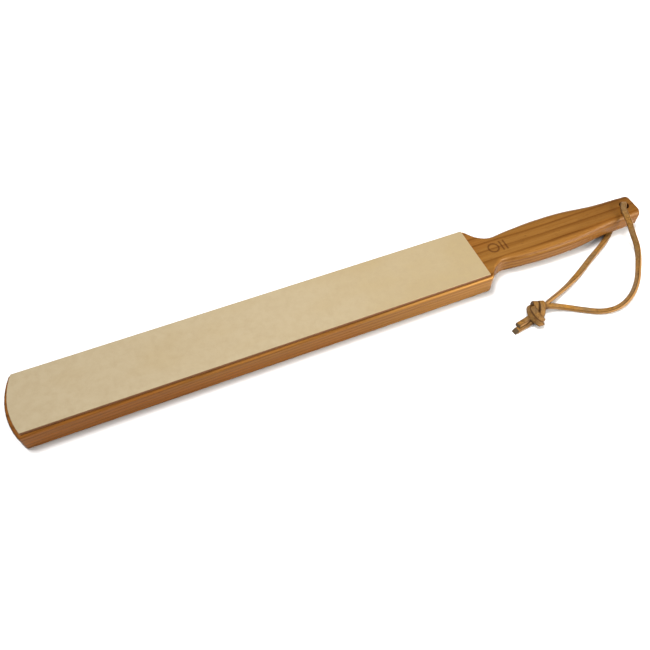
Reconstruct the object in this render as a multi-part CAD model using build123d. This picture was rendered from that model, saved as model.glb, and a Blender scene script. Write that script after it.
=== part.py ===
from build123d import *
import os
from math import radians, sqrt, tan

# Paddle strop: a one-piece wooden paddle with a strip of leather glued to its
# upper face, and a leather lace tied through the end of the handle.
# Row frame, in millimetres: the origin is under the middle of the paddle, on the
# surface that it lies on. +X runs from the blade to the handle, +Z is up.

# ---- Paddle ----
BLADE_LENGTH = 354.0
HANDLE_LENGTH = 148.0
BLADE_WIDTH = 50.8
BOARD_THICKNESS = 17.8
BLADE_END_RADIUS = 60.0
BLADE_CORNER_RADIUS = 2.5
BLADE_EDGE_RADIUS = 2.0
HANDLE_EDGE_RADIUS = 5.5
EDGE_BLEND_LENGTH = 36.0
HANDLE_END_RADIUS = 3.2

# Half-width of the handle at each distance from the shoulder: the neck, the
# swell that fills the palm, the waist and the square end.
HANDLE_OUTLINE = [
    (0.0, BLADE_WIDTH / 2),
    (2.0, 24.6),
    (4.5, 21.5),
    (8.0, 17.4),
    (12.0, 14.7),
    (16.0, 13.1),
    (20.0, 12.6),
    (28.0, 13.7),
    (40.0, 15.1),
    (54.0, 16.0),
    (68.0, 16.2),
    (84.0, 15.7),
    (98.0, 14.2),
    (112.0, 12.4),
    (126.0, 11.7),
    (137.0, 11.45),
    (HANDLE_LENGTH, 11.4),
]

# ---- Leather and its glue line ----
LEATHER_LENGTH = 350.2
LEATHER_WIDTH = 47.2
LEATHER_THICKNESS = 2.35
LEATHER_EDGE_RADIUS = 0.35
LEATHER_END_GAP = 3.0
GLUE_THICKNESS = 0.15

# ---- Hanging hole, and the eased underside that leaves room for the lace ----
HOLE_RADIUS = 4.0
HOLE_FROM_END = 10.4
HOLE_LIP_RADIUS = 0.8
RELIEF_DEPTH = 3.6
RELIEF_START_FROM_END = 64.0
RELIEF_FULL_FROM_END = 39.0

# ---- Lace ----
LACE_WIDTH = 4.5
LACE_THICKNESS = 2.6
KNOT_LENGTH = 18.5
KNOT_WIDTH = 14.0
KNOT_HEIGHT = 11.0
KNOT_ROUNDING = 5.0
KNOT_CENTRE = (124.1, -59.5)
KNOT_ANGLE = 70.5
TAIL_GAP = 0.2

# ---- Modelling constants ----
ARC_SHARE = 0.45
CUT_MARGIN = 1.0

# ---- Derived places ----
HANDLE_END_X = (BLADE_LENGTH + HANDLE_LENGTH) / 2
BLADE_TIP_X = -HANDLE_END_X
SHOULDER_X = HANDLE_END_X - HANDLE_LENGTH
HOLE_X = HANDLE_END_X - HOLE_FROM_END
LEATHER_TIP_X = BLADE_TIP_X + LEATHER_END_GAP
LACE_REST_Z = LACE_THICKNESS / 2
MID_HOLE_Z = (BOARD_THICKNESS + RELIEF_DEPTH) / 2

# Centreline of the strand that leaves the top of the hole, crosses the near edge
# of the handle, comes down to the bench and bends round to the knot.
UPPER_ROUTE = [
    (HOLE_X, 0.0, MID_HOLE_Z),
    (HOLE_X, 0.0, 16.5),
    (238.2, -2.4, 20.2),
    (234.4, -9.4, 20.2),
    (232.3, -17.0, 19.2),
    (231.9, -25.3, 13.9),
    (232.9, -33.2, 7.0),
    (230.7, -41.6, 2.4),
    (224.3, -51.0, LACE_REST_Z),
    (214.8, -61.8, LACE_REST_Z),
    (202.2, -71.6, LACE_REST_Z),
    (187.0, -77.5, LACE_REST_Z),
    (172.3, -75.8, LACE_REST_Z),
    (159.7, -67.6, LACE_REST_Z),
    (147.5, -60.0, 2.2),
    (137.2, -55.6, 4.4),
    (128.6, -54.9, 5.0),
]

# Centreline of the strand that leaves the bottom of the hole, runs under the
# eased end of the handle and goes nearly straight to the knot.
LOWER_ROUTE = [
    (HOLE_X, 0.0, MID_HOLE_Z),
    (HOLE_X, 0.0, 5.0),
    (238.0, -1.5, LACE_REST_Z),
    (231.8, -5.6, LACE_REST_Z),
    (222.0, -12.0, LACE_REST_Z),
    (209.3, -19.8, LACE_REST_Z),
    (194.9, -27.7, LACE_REST_Z),
    (178.2, -35.7, LACE_REST_Z),
    (162.1, -42.8, LACE_REST_Z),
    (148.6, -47.5, 1.8),
    (138.2, -50.2, 3.6),
    (128.4, -51.7, 4.8),
]

# Each tail: where it leaves the middle of the knot, where it is cut, and the
# height of its middle.
TAILS = {
    "lace_tail_upper": ((120.8, -59.5), (104.7, -62.9), LACE_THICKNESS * 1.5 + TAIL_GAP),
    "lace_tail_lower": ((120.8, -61.9), (101.1, -65.7), LACE_REST_Z),
}


def strip_plan(tip_x, square_x, width):
    """Plan of the blade or its leather: square at the handle, one arc at the tip."""
    half = width / 2
    corner_x = tip_x + BLADE_END_RADIUS - sqrt(BLADE_END_RADIUS**2 - half**2)
    sides = Polyline((corner_x, half), (square_x, half), (square_x, -half), (corner_x, -half))
    tip = ThreePointArc((corner_x, -half), (tip_x, 0), (corner_x, half))
    return make_face(sides + tip)


def edge_radius(distance):
    """Rounding of the long edges, growing from the blade's to the handle's."""
    share = min(distance / EDGE_BLEND_LENGTH, 1.0)
    return BLADE_EDGE_RADIUS + share * (HANDLE_EDGE_RADIUS - BLADE_EDGE_RADIUS)


def make_blade():
    plan = strip_plan(BLADE_TIP_X, SHOULDER_X, BLADE_WIDTH)
    plan = fillet(plan.vertices().sort_by(Axis.X)[:2], BLADE_CORNER_RADIUS)
    blade = extrude(plan, BOARD_THICKNESS)
    rims = blade.edges().group_by(Axis.Z)[0] + blade.edges().group_by(Axis.Z)[-1]
    rims = [edge for edge in rims if edge.center().X < SHOULDER_X - CUT_MARGIN]
    return fillet(rims, BLADE_EDGE_RADIUS)


def handle_section(distance, half_width):
    section = RectangleRounded(2 * half_width, BOARD_THICKNESS, edge_radius(distance))
    origin = (SHOULDER_X + distance, 0, BOARD_THICKNESS / 2)
    return Plane(origin=origin, x_dir=(0, 1, 0), z_dir=(1, 0, 0)) * section


def make_handle():
    handle = loft([handle_section(*station) for station in HANDLE_OUTLINE])
    end_rim = handle.faces().sort_by(Axis.X)[-1].edges()
    return fillet(end_rim, HANDLE_END_RADIUS)


def make_relief():
    """The wedge taken from under the end of the handle."""
    start_x = HANDLE_END_X - RELIEF_START_FROM_END
    full_x = HANDLE_END_X - RELIEF_FULL_FROM_END
    ramp = Spline((start_x, 0), (full_x, RELIEF_DEPTH), tangents=[(1, 0), (1, 0)])
    rest = Polyline(
        (full_x, RELIEF_DEPTH),
        (HANDLE_END_X + CUT_MARGIN, RELIEF_DEPTH),
        (HANDLE_END_X + CUT_MARGIN, -CUT_MARGIN),
        (start_x, -CUT_MARGIN),
        (start_x, 0),
    )
    profile = Plane.XZ * make_face(ramp + rest)
    return extrude(profile, BLADE_WIDTH / 2, both=True)


def make_board():
    hole = Pos(HOLE_X, 0, BOARD_THICKNESS / 2) * Cylinder(HOLE_RADIUS, 2 * BOARD_THICKNESS)
    board = make_blade() + make_handle() - make_relief() - hole
    lips = board.edges().filter_by(GeomType.CIRCLE)
    lips = [edge for edge in lips if abs(edge.radius - HOLE_RADIUS) < 0.01]
    return fillet(lips, HOLE_LIP_RADIUS)


def make_glue():
    plan = strip_plan(LEATHER_TIP_X, LEATHER_TIP_X + LEATHER_LENGTH, LEATHER_WIDTH)
    return Pos(0, 0, BOARD_THICKNESS) * extrude(plan, GLUE_THICKNESS)


def make_leather():
    plan = strip_plan(LEATHER_TIP_X, LEATHER_TIP_X + LEATHER_LENGTH, LEATHER_WIDTH)
    strip = Pos(0, 0, BOARD_THICKNESS + GLUE_THICKNESS) * extrude(plan, LEATHER_THICKNESS)
    return fillet(strip.edges().group_by(Axis.Z)[-1], LEATHER_EDGE_RADIUS)


def corner_radii(route):
    """One radius for each corner: a share of its shorter run over the tangent of half the turn."""
    points = [Vector(*point) for point in route]
    radii = []
    for before, corner, after in zip(points, points[1:], points[2:]):
        turn = (corner - before).get_angle(after - corner)
        run = min((corner - before).length, (after - corner).length)
        radii.append(ARC_SHARE * run / tan(radians(turn / 2)))
    return radii


def make_strand(name, route):
    """A round tube along the lace's centreline, as thick as the lace."""
    radii = corner_radii(route)
    print(name, "corner radii:", [round(radius, 1) for radius in radii])
    path = FilletPolyline(*route, radius=radii)
    strand = sweep((path ^ 0) * Circle(LACE_THICKNESS / 2), path=path)
    area = Circle(LACE_THICKNESS / 2).area
    print(name, "length:", round(path.length, 1), "volume ratio:", round(strand.volume / (area * path.length), 4))
    return strand


def make_knot():
    knot = Box(KNOT_LENGTH, KNOT_WIDTH, KNOT_HEIGHT)
    knot = fillet(knot.edges(), KNOT_ROUNDING)
    return Pos(*KNOT_CENTRE, KNOT_HEIGHT / 2) * Rot(0, 0, KNOT_ANGLE) * knot


def make_tail(inner, cut, height):
    run = Vector(*cut) - Vector(*inner)
    middle = (Vector(*cut) + Vector(*inner)) / 2
    angle = Vector(1, 0).get_signed_angle(run)
    bar = Box(run.length, LACE_WIDTH, LACE_THICKNESS)
    return Pos(middle.X, middle.Y, height) * Rot(0, 0, angle) * bar


parts = {
    "paddle_board": make_board(),
    "glue_film": make_glue(),
    "leather_face": make_leather(),
    "lace_upper_strand": make_strand("lace_upper_strand", UPPER_ROUTE),
    "lace_lower_strand": make_strand("lace_lower_strand", LOWER_ROUTE),
    "lace_knot": make_knot(),
}
for tail_name, tail in TAILS.items():
    parts[tail_name] = make_tail(*tail)

os.makedirs("parts", exist_ok=True)
for node, shape in parts.items():
    export_step(shape, f"parts/{node}.step")
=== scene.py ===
"""Looks of the leather strop: an oiled wooden paddle, its leather face and its knotted lace.

Everything is in metres in the row frame: +X runs along the paddle to the handle's end, +Z is up.
"""

import math

import bmesh
import bpy
from mathutils import Matrix, Vector


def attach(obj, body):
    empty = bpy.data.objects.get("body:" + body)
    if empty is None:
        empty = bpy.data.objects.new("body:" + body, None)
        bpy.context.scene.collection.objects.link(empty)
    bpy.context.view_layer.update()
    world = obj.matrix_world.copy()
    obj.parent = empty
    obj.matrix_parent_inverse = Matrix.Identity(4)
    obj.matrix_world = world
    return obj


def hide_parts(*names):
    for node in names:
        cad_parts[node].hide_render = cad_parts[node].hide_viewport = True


MM = 0.001

# ---- Camera ----
CAMERA_PLACE = Vector((-125.0, -262.4, 399.1)) * MM
CAMERA_TARGET = Vector((-25.5, -7.2, 1.3)) * MM
CAMERA_ROLL = -0.74
CAMERA_LENS = 35.84
CAMERA_NEAR = 0.01
SENSOR_WIDTH = 36.0


def colour(red, green, blue):
    """A linear colour from display values of 0 to 255."""
    return (*(((c / 255 + 0.055) / 1.055) ** 2.4 for c in (red, green, blue)), 1.0)


# ---- Wood: lengths in millimetres, then each noise's cells per millimetre along, across and up ----
RING_SPACING = 3.4
RING_WAVER = 0.5
RING_SHIFT = 0.175
HEART_ACROSS = -44.0
HEART_BELOW = -80.0
BOW_FROM = 60.0
BOW_RADIUS = 7400.0
SIDE_LATE_WOOD = [(0.0, 0.6), (0.2, 0.0), (0.55, 0.0), (0.72, 0.4), (0.86, 1.0), (1.0, 0.6)]
LATE_WOOD = [(0.0, 0.5), (0.04, 0.08), (0.5, 0.0), (0.72, 0.2), (0.86, 0.75), (0.93, 1.0), (1.0, 0.8)]
LATE_WOOD_DEPTH = 0.88
PORE_DEPTH = 0.35
REDDER_OVER = 600.0
# Painted highlight on the blade's rounded edges and painted light on its sides, along the blade's length.
PAINTED_LIGHT_OVER = 160.0
PAINTED_LIGHT_ALONG = [(0.0, 0.2), (0.5, 1.0), (0.64, 1.0), (0.72, 0.0)]
SIDE_PAINTED_LIGHT = 0.28
HANDLED_FROM = 170.0
HANDLED_OVER = 80.0
WOOD_GOLD = colour(119, 82, 37)
WOOD_RED = colour(121, 71, 26)
WOOD_STREAK = colour(100, 62, 20)
WOOD_LINE = colour(76, 40, 8)
WOOD_FIBRE = colour(92, 55, 16)
WOOD_PORE = colour(58, 30, 10)
WOOD_END = colour(52, 30, 20)
# The colour of the painted highlight and painted light on the blade's edges and sides.
WOOD_PAINTED_LIGHT = colour(162, 117, 60)
OILED_SHEEN = (1.0, 0.75, 0.45, 1.0)
MARK_PLACE = (118.9, 0.3)
MARK_RING = 4.1
MARK_BARS = (7.0, 10.4)
MARK_HEIGHT = 17.3
MARK_ROUGHNESS = 0.9
MARK_COLOUR = colour(52, 22, 8)
WOOD_STREAKS = (0.010, 0.42, 0.55)
WOOD_FIBRES = (0.035, 1.5, 1.5)
WOOD_PORES = (0.22, 1.5, 1.5)
WOOD_WARMTH = (0.012, 0.05, 0.05)
WOOD_WAVER = (0.011, 0.03, 0.03)
WOOD_PATCHES = (0.010, 0.10, 0.10)
MARK_CHAR = (1.4, 1.4, 1.4)

# ---- Leather, lace and glue: the same units ----
LEATHER_PALE = colour(140, 125, 95)
LEATHER_TAN = colour(137, 120, 86)
LEATHER_DEEP = colour(130, 113, 85)
LEATHER_EDGE = colour(104, 62, 28)
LEATHER_EDGE_DARK = colour(84, 50, 22)
LEATHER_EDGE_FROM = 19.92
LEATHER_YELLOWS_OVER = 900.0
LEATHER_CLOUDS = (0.018, 0.03, 0.03)
LEATHER_MOTTLE = (0.22, 0.22, 0.22)
LEATHER_GRAIN = 1.7
LACE_TAN = colour(137, 97, 43)
LACE_GREY = colour(116, 91, 60)
LACE_DARK = colour(70, 45, 20)
LACE_CORNER_SHADE = colour(58, 36, 18)
LACE_RAW = colour(132, 97, 54)
LACE_CUT_FACE = colour(74, 60, 44)
LACE_PATCHES = (0.07, 0.07, 0.07)
LACE_FINE = (0.9, 0.9, 0.9)
LACE_CREASES = (0.35, 0.35, 0.35)
GLUE_AMBER = colour(120, 84, 44)
GLUE_BROWN = colour(86, 56, 28)
GLUE_STREAKS = (0.2, 0.2, 0.8)

# ---- Lace ----
# Its UVs give the place across and through the section, from 0 to 1, and lie off it on the cut
# faces. The ramps go by how far across the section a point is from the middle.
LACE_WIDTH = 4.5 * MM
LACE_THICKNESS = 2.6 * MM
LACE_CORNER = 0.75 * MM
CORNER_STEPS = 4
ROUTE_STEPS = 10
CUT_FACE_UV = (2.0, 2.0)
CORNER_SHADE = [(0.34, 0.0), (0.42, 0.85)]
RAW_SIDE = [(0.46, 0.0), (0.49, 0.75)]
CUT_FACE = [(0.6, 0.0), (0.7, 1.0)]
UPPER_END_SLANT = 1.3
LOWER_END_SLANT = -0.3

# Each strand from the middle of the hole to the knot: a point of its route in millimetres, then
# the way that its flat side faces there.
UPPER_ROUTE = (
    ((240.6, 0.0, 10.7), (0.67, 0.74, 0.0)),
    ((240.8, 1.0, 15.8), (0.45, 0.89, 0.0)),
    ((240.1, 1.1, 20.4), (0.35, 0.7, 0.6)),
    ((234.9, -4.1, 21.2), (-0.4, 0.2, 0.9)),
    ((233.4, -9.6, 20.6), (-0.6, -0.1, 0.8)),
    ((232.3, -16.9, 19.2), (-0.7, -0.2, 0.7)),
    ((232.2, -24.9, 13.4), (-0.75, -0.3, 0.6)),
    ((233.8, -32.4, 6.9), (-0.8, -0.25, 0.55)),
    ((230.9, -40.7, 3.0), (-0.85, 0.0, 0.5)),
    ((224.1, -50.1, 2.3), (-0.85, 0.4, 0.35)),
    ((214.6, -61.3, 2.3), (-0.6, 0.6, 0.45)),
    ((202.0, -71.2, 2.3), (-0.3, 0.7, 0.6)),
    ((187.0, -77.1, 2.1), (0.0, 0.55, 0.85)),
    ((172.3, -75.4, 1.7), (0.0, 0.25, 1.0)),
    ((159.7, -67.8, 1.5), (0.0, 0.0, 1.0)),
    ((147.5, -60.7, 2.4), (0.0, 0.0, 1.0)),
    ((137.8, -57.2, 4.7), (0.0, 0.0, 1.0)),
)
LOWER_ROUTE = (
    ((240.6, 0.0, 10.7), (0.67, 0.74, 0.0)),
    ((240.6, 0.0, 5.5), (0.8, 0.6, 0.0)),
    ((238.4, -0.8, 1.4), (0.4, 0.3, -0.8)),
    ((231.8, -5.6, 1.4), (0.0, 0.0, -1.0)),
    ((222.1, -12.8, 1.4), (0.0, 0.0, -1.0)),
    ((210.5, -20.0, 2.1), (0.35, -0.55, -0.7)),
    ((195.6, -27.3, 1.8), (0.15, -0.25, -0.9)),
    ((179.1, -36.5, 1.7), (0.1, -0.2, -0.95)),
    ((163.7, -43.9, 2.2), (0.35, -0.65, -0.7)),
    ((151.1, -48.6, 2.7), (0.35, -0.75, -0.6)),
    ((142.5, -51.4, 3.4), (0.35, -0.75, -0.6)),
    ((135.3, -54.2, 4.2), (0.35, -0.8, -0.5)),
)

# The overhand knot that both strands tie together, then their cut tails. These points are
# measured from the knot's middle: along it, across it towards the tails, and up from the floor.
KNOT_MIDDLE = Vector((124.1, -59.5, 0.0))
KNOT_TURN = math.radians(70.5)
KNOT_HEART = KNOT_MIDDLE + Vector((0.0, 0.0, 4.0))
KNOT_REACH = 16.0
KNOT_SHADE = 0.2
UPPER_KNOT = (
    ((5.0, -4.6, 5.0), (0.5, 0.0, 0.85)),
    ((4.0, -0.4, 5.0), (0.8, 0.2, 0.5)),
    ((3.9, 3.0, 7.0), (0.6, 0.3, 0.75)),
    ((1.6, 3.5, 8.9), (0.1, 0.45, 0.88)),
    ((-2.2, 2.8, 9.5), (0.0, 0.45, 0.88)),
    ((-5.4, 1.0, 8.7), (-0.4, 0.35, 0.85)),
    ((-6.9, -1.4, 6.8), (-0.75, 0.1, 0.65)),
    ((-6.6, -3.0, 4.2), (-0.7, -0.6, 0.2)),
    ((-4.2, -3.3, 1.5), (-0.2, -0.3, -0.9)),
    ((0.5, -3.8, 1.3), (0.0, 0.0, -1.0)),
    ((5.0, -3.9, 1.3), (0.0, 0.0, -1.0)),
    ((8.6, -4.0, 2.2), (0.7, 0.0, -0.7)),
    ((9.4, -4.1, 5.2), (1.0, 0.0, 0.1)),
    ((8.0, -4.2, 8.4), (0.5, 0.0, 0.85)),
    ((4.2, -4.1, 9.0), (0.0, 0.0, 1.0)),
    ((0.2, -3.3, 8.2), (-0.2, -0.2, 0.95)),
    ((-3.0, -2.5, 6.2), (-0.4, -0.2, 0.9)),
    ((-4.4, -0.4, 4.4), (0.0, 0.0, 1.0)),
    ((-5.0, 2.8, 3.9), (0.0, 0.0, 1.0)),
    ((-6.2, 5.6, 2.4), (0.0, 0.2, 1.0)),
    ((-8.0, 9.4, 1.35), (0.0, 0.0, 1.0)),
    ((-12.8, 18.0, 1.3), (0.0, 0.0, 1.0)),
)
LOWER_KNOT = (
    ((7.2, -4.6, 4.5), (-1.0, 0.0, -0.2)),
    ((6.8, 0.4, 4.7), (-0.95, -0.1, -0.3)),
    ((6.2, 4.1, 5.8), (-0.7, -0.5, -0.5)),
    ((3.0, 5.8, 6.8), (-0.3, -0.85, -0.45)),
    ((-1.5, 5.8, 6.9), (0.0, -0.88, -0.45)),
    ((-6.0, 4.2, 6.5), (0.35, -0.75, -0.55)),
    ((-8.8, 1.2, 5.6), (0.8, -0.3, -0.45)),
    ((-9.2, -1.5, 3.9), (0.95, 0.1, -0.2)),
    ((-7.6, -2.3, 1.6), (0.4, 0.2, 0.9)),
    ((-3.0, -0.6, 1.3), (0.0, 0.0, 1.0)),
    ((3.0, 0.8, 1.3), (0.0, 0.0, 1.0)),
    ((7.4, 0.7, 1.5), (-0.4, 0.0, 0.9)),
    ((9.4, 0.5, 4.6), (-1.0, 0.0, 0.0)),
    ((8.0, 0.5, 8.3), (-0.5, 0.0, -0.85)),
    ((4.2, 0.5, 8.9), (0.0, 0.0, -1.0)),
    ((1.2, 1.0, 7.4), (0.2, -0.1, -1.0)),
    ((-1.2, 2.6, 5.9), (0.0, 0.0, -1.0)),
    ((-3.0, 4.9, 4.9), (0.0, 0.0, -1.0)),
    ((-4.4, 7.2, 4.1), (-0.2, 0.0, -1.0)),
    ((-9.6, 16.2, 4.0), (-0.3, 0.0, -0.95)),
)

# ---- Floor and light ----
FLOOR_SIZE = 8.0
FLOOR_GREY = 0.73
SKY_STRENGTH = 0.3
SUN_STRENGTH = 3.8
SUN_PLACE = (-0.2, 0.26, 1.0)
SUN_SPREAD = 22.0
FILL_POWER = 13.2
FILL_PLACE = (0.52, -0.5, 0.1)
FILL_SIZE = 0.4
FILL_TINT = (1.0, 0.96, 0.9)
LAMP_POWER = 1.1
LAMP_PLACE = (0.02, 0.05, 0.4)
LAMP_SIZE = 0.3

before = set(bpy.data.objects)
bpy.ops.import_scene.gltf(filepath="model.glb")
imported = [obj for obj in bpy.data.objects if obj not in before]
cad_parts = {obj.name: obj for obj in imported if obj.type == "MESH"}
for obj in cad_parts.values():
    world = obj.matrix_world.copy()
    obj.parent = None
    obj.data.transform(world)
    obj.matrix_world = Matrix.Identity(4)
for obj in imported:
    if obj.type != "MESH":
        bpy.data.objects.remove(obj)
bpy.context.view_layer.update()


# ---------------------------------------------------------------- camera


def make_camera():
    """The camera, above the side where the lace lies."""
    data = bpy.data.cameras.new("camera")
    data.sensor_width = SENSOR_WIDTH
    data.lens = CAMERA_LENS
    data.clip_start = CAMERA_NEAR
    camera = bpy.data.objects.new("camera", data)
    aim = (CAMERA_TARGET - CAMERA_PLACE).to_track_quat("-Z", "Y").to_matrix()
    roll = Matrix.Rotation(math.radians(CAMERA_ROLL), 3, "Z")
    camera.matrix_world = Matrix.Translation(CAMERA_PLACE) @ (aim @ roll).to_4x4()
    bpy.context.scene.collection.objects.link(camera)
    bpy.context.scene.camera = camera


make_camera()


# ---------------------------------------------------------------- lace


def knot_points(rows):
    """The knot's rows, turned and moved to where the knot lies."""
    turn = Matrix.Rotation(KNOT_TURN, 3, "Z")
    return [(KNOT_MIDDLE + turn @ Vector(point), turn @ Vector(face)) for point, face in rows]


def spline_points(name, controls):
    """Points read from the smooth NURBS line of these control points."""
    curve = bpy.data.curves.new(name, "CURVE")
    curve.dimensions = "3D"
    spline = curve.splines.new("NURBS")
    spline.points.add(len(controls) - 1)
    for point, control in zip(spline.points, controls):
        point.co = (*control, 1.0)
    spline.order_u = 3
    spline.use_endpoint_u = True
    spline.resolution_u = ROUTE_STEPS
    holder = bpy.data.objects.new(name, curve)
    mesh = bpy.data.meshes.new_from_object(holder)
    points = [v.co.copy() for v in mesh.vertices]
    bpy.data.meshes.remove(mesh)
    bpy.data.objects.remove(holder)
    bpy.data.curves.remove(curve)
    return points


def lace_section():
    """The lace's outline as (across, through), a rectangle with rounded corners."""
    half_width = LACE_WIDTH / 2 - LACE_CORNER
    half_thickness = LACE_THICKNESS / 2 - LACE_CORNER
    outline = []
    for corner, (side, top) in enumerate(((1, 1), (-1, 1), (-1, -1), (1, -1))):
        for step in range(CORNER_STEPS + 1):
            angle = math.radians(90) * (corner + step / CORNER_STEPS)
            across = side * half_width + LACE_CORNER * math.cos(angle)
            through = top * half_thickness + LACE_CORNER * math.sin(angle)
            outline.append((across, through))
    return outline


def section_frames(points, rail):
    """The directions along, across and through the thong at each point of its route."""
    frames = []
    for i, point in enumerate(points):
        ahead = (points[min(i + 1, len(points) - 1)] - points[max(i - 1, 0)]).normalized()
        across = ahead.cross(rail[i] - point).normalized()
        frames.append((ahead, across, across.cross(ahead)))
    return frames


def make_strand(name, route, end_slant):
    """A flat thong swept along its route, with a cut face at each end, the last one slanted."""
    points = spline_points(name, [Vector(point) * MM for point, _ in route])
    rail = spline_points(name, [(Vector(point) + Vector(face).normalized()) * MM for point, face in route])
    section = lace_section()
    mesh = bmesh.new()
    rings = []
    place_in_section = {}
    for i, (point, (ahead, across, through)) in enumerate(zip(points, section_frames(points, rail))):
        slant = end_slant if i == len(points) - 1 else 0.0
        ring = [mesh.verts.new(point + across * a + through * t - ahead * (t * slant)) for a, t in section]
        for vertex, (a, t) in zip(ring, section):
            place_in_section[vertex] = (a / LACE_WIDTH + 0.5, t / LACE_THICKNESS + 0.5)
        rings.append(ring)
    for ring, following in zip(rings, rings[1:]):
        for i in range(len(section)):
            j = (i + 1) % len(section)
            mesh.faces.new((ring[i], ring[j], following[j], following[i])).smooth = True
    cut_faces = (mesh.faces.new(list(reversed(rings[0]))), mesh.faces.new(rings[-1]))
    bmesh.ops.recalc_face_normals(mesh, faces=mesh.faces)
    in_section = mesh.loops.layers.uv.new("in_section")
    for face in mesh.faces:
        for loop in face.loops:
            loop[in_section].uv = CUT_FACE_UV if face in cut_faces else place_in_section[loop.vert]
    data = bpy.data.meshes.new(name)
    mesh.to_mesh(data)
    mesh.free()
    strand = bpy.data.objects.new(name, data)
    bpy.context.scene.collection.objects.link(strand)
    return strand, points


def make_lace():
    """Both strands of the lace, from the middle of the hole to the ends of their tails."""
    upper_route = list(UPPER_ROUTE) + knot_points(UPPER_KNOT)
    lower_route = list(LOWER_ROUTE) + knot_points(LOWER_KNOT)
    upper, upper_path = make_strand("lace_upper", upper_route, UPPER_END_SLANT)
    lower, lower_path = make_strand("lace_lower", lower_route, LOWER_END_SLANT)
    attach(upper, "lanyard")
    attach(lower, "lanyard")
    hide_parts("lace_upper_strand", "lace_knot", "lace_tail_lower")
    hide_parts("lace_lower_strand", "lace_tail_upper")
    return upper, lower


lace_strands = make_lace()


# ---------------------------------------------------------------- node helpers


def link(material, output, socket):
    """Join a node's output to another's input socket."""
    material.node_tree.links.new(output, socket)


def new_material(name):
    """A material with only its shader, which is returned too."""
    material = bpy.data.materials.new(name)
    material.use_nodes = True
    material.node_tree.nodes.clear()
    output = node(material, "OutputMaterial")
    shader = node(material, "BsdfPrincipled")
    link(material, shader.outputs[0], output.inputs[0])
    return material, shader


def node(material, kind, inputs=None, **settings):
    """A new node. Each input is a constant or another node's output socket."""
    made = material.node_tree.nodes.new("ShaderNode" + kind)
    for name, value in settings.items():
        setattr(made, name, value)
    for key, value in (inputs or {}).items():
        if isinstance(value, bpy.types.NodeSocket):
            link(material, value, made.inputs[key])
        else:
            made.inputs[key].default_value = value
    return made


def place(material, scale=(1.0, 1.0, 1.0)):
    """The piece's own coordinates in millimetres, scaled."""
    source = node(material, "TexCoord").outputs["Object"]
    factors = [factor / MM for factor in scale]
    return node(material, "Mapping", {"Vector": source, "Scale": factors}, vector_type="POINT").outputs[0]


def noise(material, cells, detail=2.0, rough=0.5, distort=0.0):
    """Soft noise from 0 to 1, with this many cells to the millimetre each way."""
    where = place(material, cells)
    inputs = {"Vector": where, "Scale": 1.0, "Detail": detail, "Roughness": rough, "Distortion": distort}
    return node(material, "TexNoise", inputs).outputs[0]


def ramp(material, value, stops):
    """The level for a value, read between stops of (value, level)."""
    made = node(material, "ValToRGB", {0: value})
    elements = made.color_ramp.elements
    while len(elements) < len(stops):
        elements.new(0.5)
    for element, (where, level) in zip(elements, stops):
        element.position = where
        element.color = (level, level, level, 1.0)
    return made.outputs[0]


def math_node(material, operation, a, b=0.0):
    """The result of one step of arithmetic; an operation on one number leaves b out."""
    return node(material, "Math", {0: a, 1: b}, operation=operation).outputs[0]


def distance(material, a, b):
    """The length of the line whose parts are a and b."""
    squares = [math_node(material, "POWER", part, 2.0) for part in (a, b)]
    return math_node(material, "SQRT", math_node(material, "ADD", *squares))


def mix(material, factor, a, b):
    """The colour or level a, turning into b as the factor goes from 0 to 1."""
    return node(material, "Mix", {0: factor, 6: a, 7: b}, data_type="RGBA").outputs[2]


def split(material, vector):
    """The three parts of a vector."""
    return tuple(node(material, "SeparateXYZ", {0: vector}).outputs)


def roughen(material, shader, height, strength, depth):
    """Give the surface fine relief, of a depth in metres."""
    bump = node(material, "Bump", {"Height": height, "Strength": strength, "Distance": depth})
    link(material, bump.outputs[0], shader.inputs["Normal"])


# ---------------------------------------------------------------- materials


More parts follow.
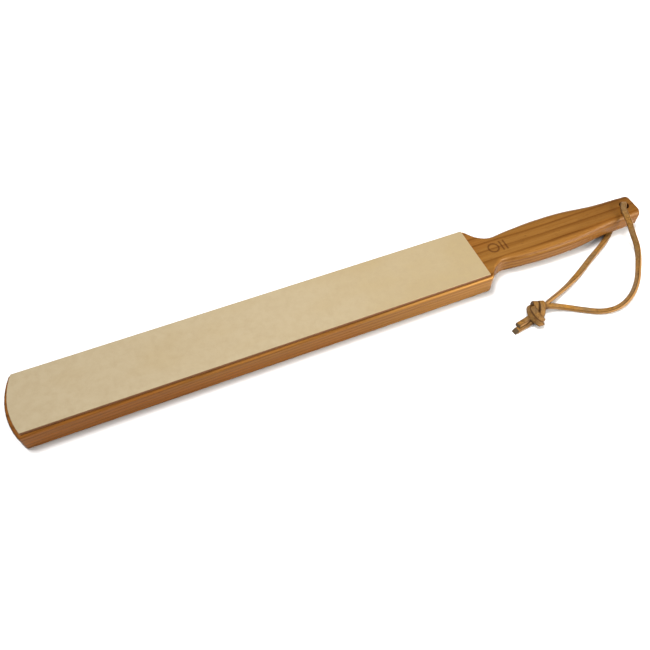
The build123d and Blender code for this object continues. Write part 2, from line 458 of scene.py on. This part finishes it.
def wood_material():
    """Straight-grained timber: rings round a far-off heart, fine fibres, short pores and oil."""
    material, shader = new_material("oiled_wood")
    in_board = place(material)
    x = split(material, in_board)[0]
    endways, sideways, upwards = split(material, node(material, "TexCoord").outputs["Normal"])
    endways = math_node(material, "ABSOLUTE", endways)
    sideways = math_node(material, "ABSOLUTE", sideways)
    late = growth_lines(material, in_board, sideways)
    streaks = noise(material, WOOD_STREAKS, detail=3.0, rough=0.6)
    fibre = noise(material, WOOD_FIBRES, detail=4.0, rough=0.65)
    pores = ramp(material, noise(material, WOOD_PORES), [(0.60, 0.0), (0.72, 1.0)])
    redder = math_node(material, "DIVIDE", x, REDDER_OVER)
    warmth = math_node(material, "ADD", noise(material, WOOD_WARMTH), redder)
    base = mix(material, ramp(material, warmth, [(0.2, 0.0), (0.6, 1.0)]), WOOD_RED, WOOD_GOLD)
    base = mix(material, ramp(material, streaks, [(0.40, 0.0), (0.68, 0.5)]), base, WOOD_STREAK)
    base = mix(material, math_node(material, "MULTIPLY", late, LATE_WOOD_DEPTH), base, WOOD_LINE)
    base = mix(material, ramp(material, fibre, [(0.40, 0.0), (0.66, 0.55)]), base, WOOD_FIBRE)
    base = mix(material, math_node(material, "MULTIPLY", pores, PORE_DEPTH), base, WOOD_PORE)
    handled = math_node(material, "SUBTRACT", x, HANDLED_FROM)
    handled = ramp(material, math_node(material, "DIVIDE", handled, HANDLED_OVER), [(0.0, 0.0), (1.0, 0.42)])
    base = mix(material, handled, base, WOOD_LINE)
    # Painted highlight along the blade's rounded edges and painted light on its sides.
    base = mix(material, painted_edge_light(material, sideways, upwards, x, streaks), base, WOOD_PAINTED_LIGHT)
    base = mix(material, ramp(material, endways, [(0.35, 0.0), (0.8, 0.75)]), base, WOOD_END)
    base = burnt_mark(material, in_board, base)
    link(material, base, shader.inputs["Base Color"])
    link(material, ramp(material, fibre, [(0.3, 0.24), (0.7, 0.34)]), shader.inputs["Roughness"])
    shader.inputs["Specular IOR Level"].default_value = 0.08
    shader.inputs["Specular Tint"].default_value = OILED_SHEEN
    relief = math_node(material, "ADD", math_node(material, "MULTIPLY", pores, -0.8), fibre)
    roughen(material, shader, relief, strength=0.3, depth=0.15 * MM)
    return material


def painted_edge_light(material, sideways, upwards, x, streaks):
    """Painted highlight on the blade's rounded long edges and painted light on its sides, 0 to 1: most
    beside the handle.
    """
    rounded = ramp(material, math_node(material, "MULTIPLY", sideways, upwards), [(0.2, 0.0), (0.45, 1.0)])
    edge_light = math_node(material, "MAXIMUM", rounded, math_node(material, "MULTIPLY", sideways, SIDE_PAINTED_LIGHT))
    along = ramp(material, math_node(material, "DIVIDE", x, PAINTED_LIGHT_OVER), PAINTED_LIGHT_ALONG)
    broken = ramp(material, streaks, [(0.35, 1.0), (0.62, 0.35)])
    return math_node(material, "MULTIPLY", math_node(material, "MULTIPLY", edge_light, along), broken)


def growth_lines(material, in_board, sideways):
    """The dark late wood of each ring, from 0 to 1: the rings bow down towards the blade's tip."""
    x, y, z = split(material, in_board)
    bow = math_node(material, "MAXIMUM", math_node(material, "SUBTRACT", BOW_FROM, x), 0.0)
    bow = math_node(material, "DIVIDE", math_node(material, "POWER", bow, 2.0), BOW_RADIUS)
    above = math_node(material, "ADD", math_node(material, "SUBTRACT", z, HEART_BELOW), bow)
    across = math_node(material, "SUBTRACT", y, HEART_ACROSS)
    rings = math_node(material, "DIVIDE", distance(material, across, above), RING_SPACING)
    waver = math_node(material, "MULTIPLY", noise(material, WOOD_WAVER), RING_WAVER)
    rings = math_node(material, "ADD", rings, waver)
    ring = math_node(material, "FRACT", math_node(material, "ADD", rings, RING_SHIFT))
    late = mix(material, sideways, ramp(material, ring, LATE_WOOD), ramp(material, ring, SIDE_LATE_WOOD))
    patchy = noise(material, WOOD_PATCHES, detail=3.0)
    return math_node(material, "MULTIPLY", late, ramp(material, patchy, [(0.3, 0.5), (0.6, 1.0)]))


def burnt_mark(material, in_board, base):
    """A small generic mark burnt into the neck's upper face: a ring and two short bars."""
    x, y, z = split(material, in_board)
    along = math_node(material, "SUBTRACT", x, MARK_PLACE[0])
    across = math_node(material, "SUBTRACT", y, MARK_PLACE[1])
    from_ring = math_node(material, "SUBTRACT", distance(material, along, across), MARK_RING)
    shape = math_node(material, "ABSOLUTE", from_ring)
    past_ends = math_node(material, "SUBTRACT", math_node(material, "ABSOLUTE", across), MARK_RING)
    for bar_place in MARK_BARS:
        from_bar = math_node(material, "ABSOLUTE", math_node(material, "SUBTRACT", along, bar_place))
        shape = math_node(material, "MINIMUM", shape, math_node(material, "MAXIMUM", from_bar, past_ends))
    char = math_node(material, "SUBTRACT", noise(material, MARK_CHAR), 0.5)
    shape = math_node(material, "ADD", shape, math_node(material, "MULTIPLY", char, MARK_ROUGHNESS))
    burn = ramp(material, math_node(material, "DIVIDE", shape, 2.0), [(0.2, 0.62), (0.5, 0.0)])
    on_top = math_node(material, "GREATER_THAN", z, MARK_HEIGHT)
    return mix(material, math_node(material, "MULTIPLY", burn, on_top), base, MARK_COLOUR)


def leather_material():
    """Undyed strop leather: a smooth pale face with faint pores, and a darker cut edge."""
    material, shader = new_material("strop_leather")
    in_leather = place(material)
    x, _, z = split(material, in_leather)
    yellower = math_node(material, "DIVIDE", x, LEATHER_YELLOWS_OVER)
    cloud = math_node(material, "ADD", noise(material, LEATHER_CLOUDS, detail=3.0), yellower)
    mottle = noise(material, LEATHER_MOTTLE, detail=4.0, rough=0.6)
    cells = node(material, "TexVoronoi", {"Vector": in_leather, "Scale": LEATHER_GRAIN}, feature="F1")
    grain = cells.outputs["Distance"]
    face = mix(material, ramp(material, cloud, [(0.35, 0.0), (0.65, 1.0)]), LEATHER_PALE, LEATHER_TAN)
    face = mix(material, ramp(material, mottle, [(0.40, 0.0), (0.75, 0.35)]), face, LEATHER_DEEP)
    edge = mix(material, mottle, LEATHER_EDGE, LEATHER_EDGE_DARK)
    top = ramp(material, math_node(material, "SUBTRACT", z, LEATHER_EDGE_FROM), [(0.0, 0.0), (0.3, 1.0)])
    link(material, mix(material, top, edge, face), shader.inputs["Base Color"])
    link(material, ramp(material, mottle, [(0.3, 0.52), (0.7, 0.66)]), shader.inputs["Roughness"])
    shader.inputs["Specular IOR Level"].default_value = 0.35
    relief = math_node(material, "ADD", math_node(material, "MULTIPLY", grain, 0.6), mottle)
    roughen(material, shader, relief, strength=0.18, depth=0.15 * MM)
    return material


def lace_material():
    """Tan thong: waxy, uneven and finely creased, pale on the raw cut sides, with painted shade at its
    corners and in the knot.
    """
    material, shader = new_material("lace_leather")
    patch = noise(material, LACE_PATCHES, detail=3.0)
    fine = noise(material, LACE_FINE, detail=4.0, rough=0.65)
    creases = noise(material, LACE_CREASES, detail=3.0, rough=0.7, distort=0.6)
    base = mix(material, ramp(material, patch, [(0.38, 0.0), (0.62, 1.0)]), LACE_TAN, LACE_GREY)
    base = mix(material, ramp(material, fine, [(0.42, 0.0), (0.68, 0.6)]), base, LACE_DARK)
    base = mix(material, ramp(material, creases, [(0.52, 0.0), (0.62, 0.55)]), base, LACE_DARK)
    from_knot = node(material, "VectorMath", {0: place(material), 1: KNOT_HEART}, operation="DISTANCE")
    in_knot = math_node(material, "DIVIDE", from_knot.outputs["Value"], KNOT_REACH)
    in_knot = ramp(material, in_knot, [(0.6, 1.0), (0.85, 0.0)])
    # Painted shade: the lace is darker in and near the knot.
    base = mix(material, math_node(material, "MULTIPLY", in_knot, KNOT_SHADE), base, LACE_DARK)
    across = split(material, node(material, "TexCoord").outputs["UV"])[0]
    off_middle = math_node(material, "ABSOLUTE", math_node(material, "SUBTRACT", across, 0.5))
    # Painted shade along the section's corners; in the knot the cut sides keep it too, as painted shade
    # between the bands.
    base = mix(material, ramp(material, off_middle, CORNER_SHADE), base, LACE_CORNER_SHADE)
    out_of_knot = math_node(material, "SUBTRACT", 1.0, in_knot)
    raw_side = math_node(material, "MULTIPLY", ramp(material, off_middle, RAW_SIDE), out_of_knot)
    base = mix(material, raw_side, base, LACE_RAW)
    base = mix(material, ramp(material, off_middle, CUT_FACE), base, LACE_CUT_FACE)
    link(material, base, shader.inputs["Base Color"])
    link(material, ramp(material, fine, [(0.3, 0.42), (0.7, 0.6)]), shader.inputs["Roughness"])
    shader.inputs["Specular IOR Level"].default_value = 0.1
    shader.inputs["Specular Tint"].default_value = OILED_SHEEN
    roughen(material, shader, math_node(material, "ADD", creases, fine), strength=0.3, depth=0.2 * MM)
    return material


def glue_material():
    """The thin dried glue line under the leather."""
    material, shader = new_material("glue")
    streak = noise(material, GLUE_STREAKS, detail=3.0)
    link(material, mix(material, streak, GLUE_AMBER, GLUE_BROWN), shader.inputs["Base Color"])
    link(material, ramp(material, streak, [(0.3, 0.3), (0.7, 0.5)]), shader.inputs["Roughness"])
    return material


def assign(name, material):
    """Give a piece of the frame its material."""
    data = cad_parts[name].data
    data.materials.clear()
    data.materials.append(material)


assign("paddle_board", wood_material())
assign("leather_face", leather_material())
assign("glue_film", glue_material())
lace = lace_material()
for strand in lace_strands:
    strand.data.materials.append(lace)


# ---------------------------------------------------------------- floor and light


def make_floor():
    """The matt white ground that the strop lies on."""
    bpy.ops.mesh.primitive_plane_add(size=FLOOR_SIZE)
    floor = bpy.context.object
    floor.name = "floor"
    material, shader = new_material("floor_white")
    shader.inputs["Base Color"].default_value = (FLOOR_GREY, FLOOR_GREY, FLOOR_GREY, 1)
    shader.inputs["Roughness"].default_value = 0.9
    shader.inputs["Specular IOR Level"].default_value = 0.0
    floor.data.materials.append(material)


def add_light(name, kind, energy, place_at, tint=(1.0, 1.0, 1.0)):
    """A light aimed at the middle of the paddle."""
    data = bpy.data.lights.new(name, kind)
    data.energy = energy
    data.color = tint
    light = bpy.data.objects.new(name, data)
    light.location = place_at
    light.rotation_euler = (-Vector(place_at)).to_track_quat("-Z", "Y").to_euler()
    bpy.context.scene.collection.objects.link(light)
    return data


def make_lights():
    """A white sky, a wide sun overhead, a low warm light by the handle and a lamp above the middle."""
    scene = bpy.context.scene
    world = bpy.data.worlds.new("world")
    scene.world = world
    world.use_nodes = True
    sky = world.node_tree.nodes["Background"]
    sky.inputs[0].default_value = (1, 1, 1, 1)
    sky.inputs[1].default_value = SKY_STRENGTH
    add_light("overhead", "SUN", SUN_STRENGTH, SUN_PLACE).angle = math.radians(SUN_SPREAD)
    add_light("front_right", "AREA", FILL_POWER, FILL_PLACE, FILL_TINT).size = FILL_SIZE
    add_light("lamp", "AREA", LAMP_POWER, LAMP_PLACE).size = LAMP_SIZE
    scene.view_settings.view_transform = "Standard"


make_floor()
make_lights()
